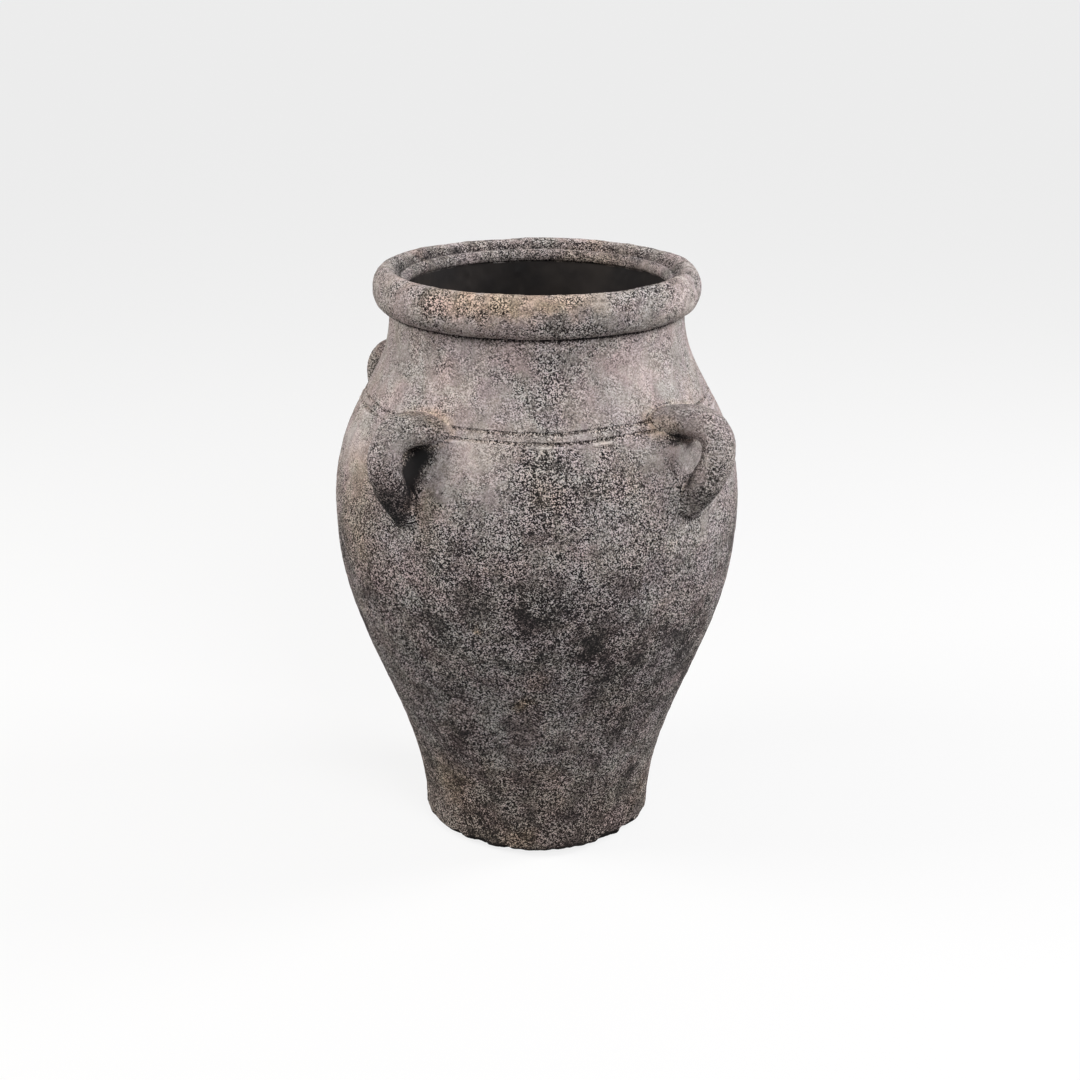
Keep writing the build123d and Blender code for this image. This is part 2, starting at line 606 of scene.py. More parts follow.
class Mark(Enum):
    """The numbers kept on the vertices of the meshes, by the names that they are kept under."""

    HOLLOW = "hollow"
    STAIN = "stain"
    CREVICE = "crevice"
    BURR = "burr"
    BROKEN = "broken"
    CLEAR = "clear_of_wall"

    def keep(self, piece: Piece, values: np.ndarray) -> None:
        """Keep one number for every vertex of a piece."""
        layer = piece.data.attributes.new(self.value, "FLOAT", "POINT")
        layer.data.foreach_set("value", values.astype(np.float32))

    def in_relief(self, wiring: Wiring) -> Field:
        """Read the mark in the tree of a relief."""
        return wiring.field("GeometryNodeInputNamedAttribute", {"Name": self.value}, data_type="FLOAT")

    def in_finish(self, wiring: Wiring) -> Field:
        """Read the mark in the tree of a finish."""
        return wiring.field("ShaderNodeAttribute", output="Fac", attribute_name=self.value)


class Push(Enum):
    """Which way weather and hands push a surface."""

    WALL = "out from the jar's axis"
    ROLL = "out from the core of the rim"
    STRAP = "out from the axis by the wall, and square to the clay where it stands clear"


@dataclass(frozen=True)
class Chip:
    """A piece knocked off the lower edge: where it was and how large."""

    azimuth: float
    reach: float
    depth: float


@dataclass(frozen=True)
class Furrow:
    """A ragged furrow in the wall, at the edge of the clay smeared out from a handle's root."""

    stops: tuple[tuple[float, float], ...]
    width: float = 0.0042
    bottom: float = 0.2
    ragged: Cloud = Cloud(0.006, 3.0)
    raggedness: float = 0.0024

    def depth(self, place: VectorField, wall: WallLine) -> Field:
        """How deep the furrow is at each place.

        Args:
            place: Where the furrow is read.
            wall: The wall that it runs on.

        Returns:
            The depth, from 0 to 1.
        """
        ragged = self.ragged.ripple(place, self.raggedness)
        corners = [around(azimuth, wall.radius(height), height) for azimuth, height in self.stops]
        depths = []
        for start, end in zip(corners, corners[1:]):
            along = end - start
            off = place - start
            share = (off.dot(along) / along.length_squared).least(1.0).most(0.0)
            far = (off - share.along(along)).length() + ragged
            depths.append(far.between(self.width, self.width * self.bottom))
        return reduce(Field.most, depths)


FURROWS = (
    Furrow(((71, 0.466), (74, 0.471), (78, 0.479), (83, 0.484), (89, 0.486))),
    Furrow(((-37, 0.467), (-23, 0.474), (-13, 0.4755)), 0.0027),
)


@dataclass(frozen=True)
class Weather:
    """The relief of the clay: the maker's unevenness, pits, broken edges and irregular lines."""

    sizes: JarSizes
    wobble: Cloud = Cloud(0.15)
    wobble_depth: float = 0.0014
    lumps: Cloud = Cloud(0.034)
    lump_depth: float = 0.0010
    rough: Cloud = Cloud(0.0085, 3.0)
    rough_depth: float = 0.00055
    sunk_share: float = 0.35
    shrink: float = 0.0006
    strap_gain: float = 1.3
    pit_size: float = 0.014
    pit_depth: float = 0.0008
    pit_form: Ramp = Ramp(0.34, 0.10)
    pit_rarity: float = 0.62
    crease_form: Ramp = Ramp(0.006, 0.0005)
    burr_drop: float = 0.0030
    burr_height: float = 0.0012
    burr_form: Ramp = Ramp(0.0020, 0.0002)
    burr_lengths: Patchy = Patchy(Cloud(0.019, 3.0), Ramp(0.44, 0.58))
    burr_teeth: Patchy = Patchy(Cloud(0.0038), Ramp(0.38, 0.58, 0.15, 1.0))
    line_band: Ramp = Ramp(0.018, 0.008)
    line_waver: Cloud = Cloud(0.045)
    line_drift: float = 0.0032
    line_filling: Patchy = Patchy(Cloud(0.040, 3.0), Ramp(0.40, 0.66, 0.0, 0.55))
    # How much painted shade the incised lines get, through the cut-or-broken mark.
    line_shade: float = 0.5
    edge_band: Ramp = Ramp(0.014, 0.0)
    edge_wear: Patchy = Patchy(Cloud(0.016, 3.0), Ramp(0.40, 0.70))
    edge_depth: float = 0.0035
    furrow_depth: float = 0.0014
    chip_inset: float = 0.002
    chip_height: float = 0.0065
    chip_squash: float = 2.6
    chip_form: Ramp = Ramp(1.0, 0.35)
    chip_ragged: Cloud = Cloud(0.011, 3.0)
    chip_raggedness: float = 0.55
    chip_inward: float = 0.62
    chip_upward: float = 0.78
    chips: tuple[Chip, ...] = (
        Chip(azimuth=93, reach=0.019, depth=0.0040),
        Chip(azimuth=79, reach=0.018, depth=0.0040),
        Chip(azimuth=9, reach=0.018, depth=0.0035),
        Chip(azimuth=-3, reach=0.012, depth=0.005),
        Chip(azimuth=24, reach=0.009, depth=0.004),
        Chip(azimuth=168, reach=0.018, depth=0.006),
        Chip(azimuth=262, reach=0.024, depth=0.008),
    )

    def wear(self, piece: Piece, push: Push, neighbours: list[Piece]) -> None:
        """Give a piece its relief, and mark on its mesh where it is hollow, broken or creased.

        Args:
            piece: The piece to wear.
            push: Which way its surface is pushed.
            neighbours: Pieces that stand on this one, with painted shade in the crease round them.
        """
        tree = bpy.data.node_groups.new("weather", "GeometryNodeTree")
        for side in ("INPUT", "OUTPUT"):
            tree.interface.new_socket("Geometry", in_out=side, socket_type="NodeSocketGeometry")
        self._wire(Wiring(tree), push, neighbours)
        Bench.modify(piece, "NODES", node_group=tree)
        bpy.data.node_groups.remove(tree)

    def _wire(self, wiring: Wiring, push: Push, neighbours: list[Piece]) -> None:
        """Wire the relief from the group's input to its output.

        Args:
            wiring: The group's tree.
            push: Which way the surface is pushed.
            neighbours: Pieces that stand on this one.
        """
        place = wiring.vectors("GeometryNodeInputPosition")
        outward = (place * (1.0, 1.0, 0.0)).unit()
        distance, colour = place.cells(self.pit_size)
        pits = self.pit_form.of(distance) * colour.parts()[0].above(self.pit_rarity)
        fine = self.rough.ripple(place, self.rough_depth)
        broad = self.wobble.ripple(place, self.wobble_depth) + self.lumps.ripple(place, self.lump_depth)
        level = (broad + fine - pits * self.pit_depth - self.shrink).least(0.0)
        sunk = self.rough_depth * self.sunk_share
        marks = {Mark.HOLLOW: pits.most(fine.between(sunk, -sunk))}
        if push is Push.WALL:
            move, marks[Mark.BURR], marks[Mark.BROKEN] = self._wall_move(place, outward, level)
        elif push is Push.ROLL:
            move = self._from_core(place, outward) * level
        else:
            move = self._strap_move(outward, level)
        if neighbours:
            marks[Mark.CREVICE] = self._creases(wiring, neighbours)
        clay = wiring.node("NodeGroupInput").outputs[0]
        for mark, value in marks.items():
            marked = wiring.node("GeometryNodeStoreNamedAttribute",
                                 {"Geometry": clay, "Name": mark.value, "Value": value},
                                 data_type="FLOAT", domain="POINT")
            clay = marked.outputs[0]
        moved = wiring.node("GeometryNodeSetPosition", {"Geometry": clay, "Offset": move})
        wiring.node("NodeGroupOutput", (moved.outputs[0],))

    def _creases(self, wiring: Wiring, neighbours: list[Piece]) -> Field:
        """Find the creases that a piece has, and those round its neighbours.

        Args:
            wiring: The group's tree.
            neighbours: Pieces that stand on this one.

        Returns:
            How deep in a crease each place is, from 0 to 1.
        """
        gathered = wiring.node("GeometryNodeJoinGeometry")
        for neighbour in neighbours:
            found = wiring.node("GeometryNodeObjectInfo", {"Object": neighbour})
            wiring.feed(gathered.inputs[0], found.outputs["Geometry"])
        distance = wiring.field("GeometryNodeProximity", (gathered.outputs[0],), "Distance",
                                target_element="FACES")
        return Mark.CREVICE.in_relief(wiring).most(self.crease_form.of(distance))

    def _from_core(self, place: VectorField, outward: VectorField) -> VectorField:
        """Find the way out from the middle of the rim's roll.

        Args:
            place: Where it is read.
            outward: The way out from the jar's axis.

        Returns:
            The direction at each place.
        """
        height = (self.sizes.roll_low + self.sizes.roll_high) / 2
        core = outward * (self.sizes.roll_outer - self.sizes.roll_width / 2) + (0.0, 0.0, height)
        return (place - core).unit()

    def _strap_move(self, outward: VectorField, level: Field) -> VectorField:
        """Move with the wall where the strap meets it, and along the strap's own normal elsewhere.

        Args:
            outward: The way out from the jar's axis.
            level: How far to move.

        Returns:
            The move at each place.
        """
        clear = Mark.CLEAR.in_relief(level.wiring)
        normal = level.wiring.vectors("GeometryNodeInputNormal")
        return normal * (clear * level * self.strap_gain) + outward * ((1.0 - clear) * level)

    def _burr(self, place: VectorField, height: Field) -> Field:
        """The ragged edge of clay that the tool pushed up under the lower line, from 0 to 1."""
        off = height - (self.sizes.lines[0] - self.burr_drop)
        return self.burr_form.of(abs(off)) * self.burr_lengths.at(place) * self.burr_teeth.at(place)

    def _wall_move(self, place: VectorField, outward: VectorField,
                   level: Field) -> tuple[VectorField, Field, Field]:
        """Give the wall its relief, its lines and furrows, and its worn and broken lower edge.

        Args:
            place: Where it is read.
            outward: The way out from the jar's axis.
            level: The height of the relief.

        Returns:
            The move at each place; how far it is a burr; and how far it is cut or broken.
        """
        height = place.parts()[2]
        from_lines = abs(height - sum(self.sizes.lines) / 2)
        drift = self.line_band.of(from_lines) * self.line_waver.ripple(place, self.line_drift)
        filling = self.line_filling.at(place)
        cuts = []
        for line in self.sizes.lines:
            off = height - line
            cut = (self.sizes.line_radius**2 - off * off).most(0.0).root()
            level = level + cut * filling
            cuts.append(cut - cut * filling)
        burr = self._burr(place, height)
        worn = self.edge_band.of(height) * self.edge_wear.at(place)
        furrowed = sum(furrow.depth(place, self.sizes.wall) for furrow in FURROWS)
        level = level + burr * self.burr_height - worn * self.edge_depth - furrowed * self.furrow_depth
        chipped, lost = self._chips(place)
        move = outward * level + drift.along((0.0, 0.0, 1.0)) + chipped
        # The incised lines join the chips in the mark that the finish darkens as painted shade.
        return move, burr, lost.most(reduce(Field.most, cuts) * (self.line_shade / self.sizes.line_radius))

    def _chips(self, place: VectorField) -> tuple[VectorField, Field]:
        """Knock the chips out of the lower edge.

        Args:
            place: Where they are read.

        Returns:
            The move at each place, and how far it is broken, from 0 to 1.
        """
        ragged = self.chip_ragged.ripple(place, self.chip_raggedness)
        radius = self.sizes.wall.foot_radius - self.chip_inset
        moves, losses = [], []
        for chip in self.chips:
            off = (place - around(chip.azimuth, radius, self.chip_height)) * (1.0, 1.0, self.chip_squash)
            lost = self.chip_form.of(off.length() / chip.reach + ragged)
            inward = around(chip.azimuth, -self.chip_inward, self.chip_upward)
            moves.append((lost * chip.depth).along(inward))
            losses.append(lost)
        return reduce(VectorField.__add__, moves), reduce(Field.most, losses)


@dataclass(frozen=True)
class Spot:
    """A patch on the jar: its middle, its size and how strong it is."""

    azimuth: float
    height: float
    width: float
    tall: float
    amount: float
    edge: float = 1.15
    core: float = 0.2

    def mask(self, place: VectorField, wall: WallLine) -> Field:
        """Find the strength of the patch.

        Args:
            place: Where the patch is read.
            wall: The wall that it lies on.

        Returns:
            The strength at each place.
        """
        middle = around(self.azimuth, wall.radius(self.height), self.height)
        off = (place - middle) / (self.width, self.width, self.tall)
        return off.length().between(self.edge, self.core, 0.0, self.amount)


SOOT_SPOTS = (
    Spot(44, 0.505, 0.030, 0.060, 0.17),
    Spot(43, 0.456, 0.034, 0.016, 0.34),
    Spot(46, 0.432, 0.048, 0.036, 0.36),
    Spot(40, 0.408, 0.060, 0.034, 0.14),
    Spot(62, 0.428, 0.052, 0.044, 0.22),
    Spot(33, 0.318, 0.090, 0.050, 0.14),
    Spot(47, 0.300, 0.060, 0.050, 0.10),
    Spot(62, 0.250, 0.060, 0.070, 0.19),
    Spot(16, 0.350, 0.060, 0.040, 0.10),
    Spot(12, 0.300, 0.045, 0.045, 0.10),
    Spot(2, 0.205, 0.050, 0.060, 0.10),
    Spot(85, 0.180, 0.070, 0.090, 0.16),
    Spot(88, 0.060, 0.060, 0.060, 0.15),
    Spot(50, 0.570, 0.060, 0.014, 0.22),
    Spot(2, 0.586, 0.022, 0.016, 0.20),
    Spot(84, 0.594, 0.024, 0.016, 0.20),
    Spot(222, 0.592, 0.140, 0.030, 0.12),
    Spot(200, 0.360, 0.110, 0.090, 0.18),
    Spot(265, 0.300, 0.080, 0.090, 0.16),
    Spot(300, 0.470, 0.070, 0.060, 0.16),
    Spot(150, 0.500, 0.060, 0.050, 0.16),
)
# Painted shadow and dirt in the handles' holes: dark under the middle strap, the shadow crescent under the
# right root and the soft shade beside the right strap.
SHADE_AND_GRIME_SPOTS = (
    Spot(3, 0.435, 0.021, 0.045, 1.05),
    Spot(7, 0.450, 0.015, 0.012, 0.60),
    Spot(86, 0.458, 0.019, 0.008, 0.70),
    Spot(81.5, 0.440, 0.012, 0.025, 0.24),
)
PALE_SPOTS = (
    Spot(24, 0.289, 0.006, 0.005, 0.50),
    Spot(22, 0.440, 0.060, 0.046, 0.10),
    Spot(25, 0.505, 0.060, 0.050, 0.08),
    Spot(74, 0.510, 0.060, 0.050, 0.06),
    Spot(97, 0.495, 0.060, 0.060, 0.06),
    Spot(92, 0.435, 0.045, 0.045, 0.10),
    Spot(95, 0.350, 0.060, 0.070, 0.12),
    Spot(70, 0.168, 0.028, 0.028, 0.14),
    Spot(330, 0.430, 0.070, 0.050, 0.10),
    Spot(130, 0.400, 0.070, 0.060, 0.10),
)
OCHRE_SPOTS = (
    Spot(36, 0.592, 0.085, 0.018, 0.80),
    Spot(8, 0.588, 0.040, 0.020, 0.60),
    Spot(-18, 0.380, 0.050, 0.100, 0.38),
    Spot(6, 0.475, 0.035, 0.020, 0.42),
    Spot(10, 0.405, 0.022, 0.026, 0.45),
    Spot(80, 0.472, 0.026, 0.016, 0.45),
    Spot(24, 0.289, 0.008, 0.006, 0.90),
    Spot(36, 0.199, 0.012, 0.014, 0.80),
    Spot(-4, 0.080, 0.030, 0.050, 0.45),
    Spot(34, 0.020, 0.030, 0.016, 0.45),
    Spot(190, 0.570, 0.090, 0.030, 0.40),
    Spot(250, 0.450, 0.070, 0.050, 0.40),
)


def new_material(name: str, roughness: float, specular: float) -> tuple[bpy.types.Material, Wiring, Node]:
    """Start a material.

    Args:
        name: Its name.
        roughness: Its roughness, the same all over.
        specular: Its specular level, the same all over.

    Returns:
        The material, the wiring of its tree and its shader.
    """
    material = bpy.data.materials.new(name)
    material.use_nodes = True
    shader = material.node_tree.nodes["Principled BSDF"]
    shader.inputs["Roughness"].default_value = roughness
    shader.inputs["Specular IOR Level"].default_value = specular
    return material, Wiring(material.node_tree), shader


def bumped(shader: Node, height: Field, depth: float) -> None:
    """Give a shader fine relief.

    Args:
        shader: The shader to bump.
        height: The height, from 0 to 1.
        depth: How deep the relief is from 0 to 1.
    """
    bump = height.wiring.node("ShaderNodeBump", {"Distance": depth, "Height": height})
    height.wiring.feed(shader.inputs["Normal"], bump.outputs[0])


@dataclass(frozen=True)
class ClayFinish:
    """Weathered outer face of the clay: grit over taupe, soot clouds, ochre and rose tints, and painted
    shade in creases, chips, on the bevel and in the handles' holes.
    """

    sizes: JarSizes
    name: str = "aged_clay"
    roughness: float = 0.9
    specular: float = 0.10
    bump: float = 0.00045

    charcoal: Triple = (0.0195, 0.0183, 0.0188)
    dark: Triple = (0.080, 0.0705, 0.0692)
    taupe: Triple = (0.235, 0.205, 0.190)
    pale: Triple = (0.420, 0.375, 0.355)
    bright: Triple = (0.640, 0.590, 0.570)
    tones: tuple[float, ...] = (0.02, 0.30, 0.56, 0.78, 1.0)
    clean_tone: float = 0.98

    swirl: Cloud = Cloud(0.020, 3.0)
    swirl_reach: float = 0.035
    base_soot: float = 0.26
    # Darker towards the bottom.
    low_darkening: Ramp = Ramp(0.45, 0.30, 0.0, 0.52)
    broad: Cloud = Cloud(0.095, 3.0)
    broad_soot: float = 0.18
    clouds: Cloud = Cloud(0.045, 7.0, 0.68)
    body_clouds: Ramp = Ramp(0.47, 0.30, 0.55, 1.3)
    rim_clouds: Ramp = Ramp(0.555, 0.575, 0.0, 0.6)
    blotches: Cloud = Cloud(0.013, 4.0, 0.65)
    body_blotches: Ramp = Ramp(0.47, 0.42, 0.25, 0.6)
    rim_blotches: Ramp = Ramp(0.555, 0.575, 0.0, 0.75)
    ground_ragged: Cloud = Cloud(0.012, 3.0)
    ground_raggedness: float = 0.006
    # Darker towards the ground, below a ragged line.
    foot_darkening: Ramp = Ramp(0.014, 0.003, 0.0, 0.26)
    # Painted shade on the foot's bevel, which faces down.
    bevel_shade: Ramp = Ramp(0.0100, 0.0065, 0.0, 0.34)
    hollow_dirt: float = 0.08
    # Painted shade in the chips of the lower edge and in the incised lines.
    cut_shade: float = 0.72
    # Darker in the furrows.
    furrow_darkening: float = 0.42
    # Painted highlight along the burr under the lower line.
    burr_highlight: float = 0.42
    # Painted shade in the creases: the incised lines, under the rim's roll and round the handles' roots;
    # dust lightens the parts that face up.
    crevice_shade: float = 0.30
    crevice_dust: float = 0.40
    facing_up: Ramp = Ramp(0.15, 0.60)

    grain: float = 0.0010
    clumps: Cloud = Cloud(0.0040, 3.0, 0.8)
    clump_strength: float = 0.225
    soot_contrast: Ramp = Ramp(0.26, 0.60, 0.64, 2.4)
    black_contrast: Ramp = Ramp(1.00, 1.40, 1.0, 0.20)
    # Less grain contrast where soot and painted shade lie, so the shaded handle holes look smooth.
    darkened_contrast: Ramp = Ramp(0.0, 0.25, 1.0, 0.55)
    low_contrast: Ramp = Ramp(0.14, 0.04, 1.0, 0.88)
    uneven: Patchy = Patchy(Cloud(0.024, 5.0, 0.62), Ramp(0.36, 0.64, 0.42, 1.30))
    uneven_shift: Triple = (0.3, 0.1, 0.2)
    evened: Ramp = Ramp(0.45, 0.75, 0.0, 0.17)
    fleck: float = 0.0085
    fleck_shift: Triple = (0.1, 0.2, 0.3)
    fleck_form: Ramp = Ramp(0.24, 0.12)
    pale_flecks: Ramp = Ramp(0.86, 0.92, 0.0, 0.30)
    dark_flecks: Ramp = Ramp(0.80, 0.90, 0.0, 0.22)

    ochre: Triple = (0.430, 0.300, 0.165)
    low_ochre: Ramp = Ramp(0.16, 0.03, 0.0, 0.18)
    spot_ochre: float = 0.55
    stray_ochre: Patchy = Patchy(Cloud(0.055, 4.0, 0.6), Ramp(0.56, 0.74, 0.0, 0.16))
    grain_ochre: Ramp = Ramp(0.80, 0.95, 0.0, 0.08)
    crevice_ochre: float = 0.16
    most_ochre: float = 0.8
    rose: Triple = (0.320, 0.262, 0.258)
    stray_rose: Patchy = Patchy(Cloud(0.080, 3.0), Ramp(0.50, 0.70, 0.0, 0.45))
    tint_light: float = 0.30
    cool: Triple = (0.965, 0.99, 1.005)
    warm: Triple = (1.015, 0.992, 0.98)
    warmth: Patchy = Patchy(Cloud(0.050, 4.0), Ramp(0.36, 0.64))
    mauve: Triple = (1.024, 0.975, 1.0)
    olive: Triple = (0.99, 1.004, 0.985)
    greenness: Patchy = Patchy(Cloud(0.026, 4.0), Ramp(0.36, 0.64))
    green_shift: Triple = (0.2, 0.3, 0.1)

    def patches(self, spots: tuple[Spot, ...], place: VectorField) -> Field:
        """Add up the strength of a set of patches at each place."""
        return sum(spot.mask(place, self.sizes.wall) for spot in spots)

    def face(self, wiring: Wiring) -> tuple[VectorField, Field]:
        """Wire the clay's colour and its height for bump.

        Args:
            wiring: The material's tree.

        Returns:
            The colour and the height.
        """
        place = wiring.vectors("ShaderNodeTexCoord", output="Object")
        strayed = place + self.swirl.drift(place, self.swirl_reach)
        marks = {mark: mark.in_finish(wiring) for mark in Mark if mark is not Mark.CLEAR}
        up = self.facing_up.of(wiring.vectors("ShaderNodeNewGeometry", output="Normal").parts()[2])
        # Painted shadow and dirt in the handles' holes.
        shade_and_grime = self.patches(SHADE_AND_GRIME_SPOTS, place)
        # Soot and dirt, with painted shade in creases, chips, on the bevel and in the handles' holes.
        soot = self._soot_dirt_and_shade(place, strayed, marks, up) + shade_and_grime
        grit, tint = self._grit(place)
        uneven = self.uneven.at(strayed + self.uneven_shift)
        contrast = (
            self.soot_contrast.of(soot)
            * self.black_contrast.of(soot)
            * self.darkened_contrast.of(marks[Mark.STAIN].most(shade_and_grime))
            * self.low_contrast.of(place.parts()[2])
            * uneven
        )
        evened = (1.0 - uneven) * self.evened.of(soot)
        tone = self.clean_tone - soot + (grit - 0.5) * contrast + evened + self._flecks(place)
        colour = self._shaded(tone)
        return self._tinted(place, strayed, colour, tint, marks[Mark.CREVICE] * up), grit

    def _shaded(self, tone: Field) -> VectorField:
        """Turn a tone, from dark to bright, into the colour of the clay.

        Args:
            tone: The tone, about 0 where black and 1 where brightest.

        Returns:
            The colour.
        """
        ramp = tone.wiring.node("ShaderNodeValToRGB", (tone,))
        elements = ramp.color_ramp.elements
        shades = (self.charcoal, self.dark, self.taupe, self.pale, self.bright)
        while len(elements) < len(shades):
            elements.new(0.5)
        for element, share, shade in zip(elements, self.tones, shades):
            element.position = share
            element.color = (*shade, 1.0)
        return VectorField(tone.wiring, ramp.outputs[0])

    def _soot_dirt_and_shade(self, place: VectorField, strayed: VectorField, marks: dict[Mark, Field], up: Field) -> Field:
        """Lay soot and dirt on the clay, with painted shade in its creases, chips, bevel and handle holes.

        Args:
            place: Where they are read.
            strayed: The same places, drifted a little, for ragged patches.
            marks: What the meshes keep.
            up: How far each place faces up.

        Returns:
            How much lies at each place, about 0.2 where clean and 0.7 where black.
        """
        height = place.parts()[2]
        ground = height + self.ground_ragged.ripple(place, self.ground_raggedness)
        cloudiness = self.body_clouds.of(height) + self.rim_clouds.of(height)
        blotchiness = self.body_blotches.of(height) + self.rim_blotches.of(height)
        furrowed = sum(furrow.depth(place, self.sizes.wall) for furrow in FURROWS)
        return (
            # Darker towards the bottom.
            self.low_darkening.of(height)
            + self.base_soot
            + self.broad.ripple(place, self.broad_soot)
            + self.clouds.ripple(strayed, 0.5) * cloudiness
            + self.blotches.ripple(strayed, 0.5) * blotchiness
            # Darker towards the ground.
            + self.foot_darkening.of(ground)
            # Painted shade on the bevel, which faces down.
            + self.bevel_shade.of(height)
            + self.patches(SOOT_SPOTS, strayed)
            - self.patches(PALE_SPOTS, strayed)
            + marks[Mark.HOLLOW] * self.hollow_dirt
            # Soot and painted shade that the pieces keep on their vertices.
            + marks[Mark.STAIN]
            # Painted highlight along the burr.
            - marks[Mark.BURR] * self.burr_highlight
            # Painted shade in the chips and the incised lines.
            + marks[Mark.BROKEN] * self.cut_shade
            # Darker in the furrows.
            + furrowed * self.furrow_darkening
            # Painted shade in the creases, less where dust lies on parts that face up.
            + marks[Mark.CREVICE] * (self.crevice_shade - up * self.crevice_dust)
        )

    def _grit(self, place: VectorField) -> tuple[Field, Field]:
        """Scatter grains over the clay.

        Args:
            place: Where they are read.

        Returns:
            How pale each grain is, from 0 to 1, and a second random number for it.
        """
        own, second, _ = place.cells(self.grain)[1].parts()
        return own + self.clumps.ripple(place, self.clump_strength), second

    def _flecks(self, place: VectorField) -> Field:
        """Scatter flecks, pale where the skin has chipped and dark where soot has caught.

        Args:
            place: Where they are read.

        Returns:
            The change of tone at each place.
        """
        distance, colour = (place + self.fleck_shift).cells(self.fleck)
        pale, dark, _ = colour.parts()
        return self.fleck_form.of(distance) * (self.pale_flecks.of(pale) - self.dark_flecks.of(dark))

    def _tinted(self, place: VectorField, strayed: VectorField, colour: VectorField, tint: Field,
                dust: Field) -> VectorField:
        """Stain the clay with ochre and rose, in patches and grain by grain, and let its hue drift.

        Args:
            place: Where the stains are read.
            strayed: The same places, drifted a little.
            colour: The clay's colour.
            tint: A random number for each grain.
            dust: How much dust lies in a crevice.

        Returns:
            The stained colour.
        """
        ochre = (
            self.low_ochre.of(place.parts()[2])
            + self.patches(OCHRE_SPOTS, strayed) * self.spot_ochre
            + self.stray_ochre.at(place)
            + self.grain_ochre.of(tint)
            + dust * self.crevice_ochre
        )
        light = place.wiring.field("ShaderNodeRGBToBW", (colour,)) / self.tint_light
        stained = ochre.least(self.most_ochre).mix(colour, light.along(self.ochre))
        stained = self.stray_rose.at(strayed).mix(stained, light.along(self.rose))
        warmed = stained * self.warmth.at(strayed).mix(self.cool, self.warm)
        return warmed * self.greenness.at(strayed + self.green_shift).mix(self.mauve, self.olive)

    def material(self) -> bpy.types.Material:
        """Make the material of the outer face.

        Returns:
            The material.
        """
        material, wiring, shader = new_material(self.name, self.roughness, self.specular)
        colour, grit = self.face(wiring)
        wiring.feed(shader.inputs["Base Color"], colour)
        bumped(shader, grit, self.bump)
        return material


@dataclass(frozen=True)
class CoatFinish:
    """Dark smooth coat inside the jar, with the bare clay of the lip's bead above its edge."""

    clay: ClayFinish
    name: str = "dark_inner_coat"
    roughness: float = 0.6
    specular: float = 0.12
    bump: float = 0.0003
    tar: Triple = (0.016, 0.0145, 0.0145)
    umber: Triple = (0.028, 0.024, 0.022)
    clouds: Patchy = Patchy(Cloud(0.05, 3.0), Ramp(0.35, 0.7))
    edge_waver: Cloud = Cloud(0.02, 3.0)
    edge_drift: float = 0.003
    edge_blur: float = 0.0012
    coat_relief: float = 0.15

    def material(self) -> bpy.types.Material:
        """Make the material of the inner face.

        Returns:
            The material.
        """
        material, wiring, shader = new_material(self.name, self.roughness, self.specular)
        clay_colour, grit = self.clay.face(wiring)
        place = wiring.vectors("ShaderNodeTexCoord", output="Object")
        coat = self.clouds.at(place).mix(self.tar, self.umber)
        height = place.parts()[2] + self.edge_waver.ripple(place, self.edge_drift)
        edge = self.clay.sizes.bead_low
        bare = height.between(edge - self.edge_blur, edge + self.edge_blur)
        wiring.feed(shader.inputs["Base Color"], bare.mix(coat, clay_colour))
        bumped(shader, grit * (bare + self.coat_relief), self.bump)
        return material


@dataclass
class Finishes:
    """The jar's materials and its relief, made once and shared by the pieces."""

    clay: bpy.types.Material
    coat: bpy.types.Material
    weather: Weather

    @classmethod
    def for_jar(cls, sizes: JarSizes) -> "Finishes":
        """Make the finishes for a jar of these sizes."""
        clay = ClayFinish(sizes)
        return cls(clay.material(), CoatFinish(clay).material(), Weather(sizes))


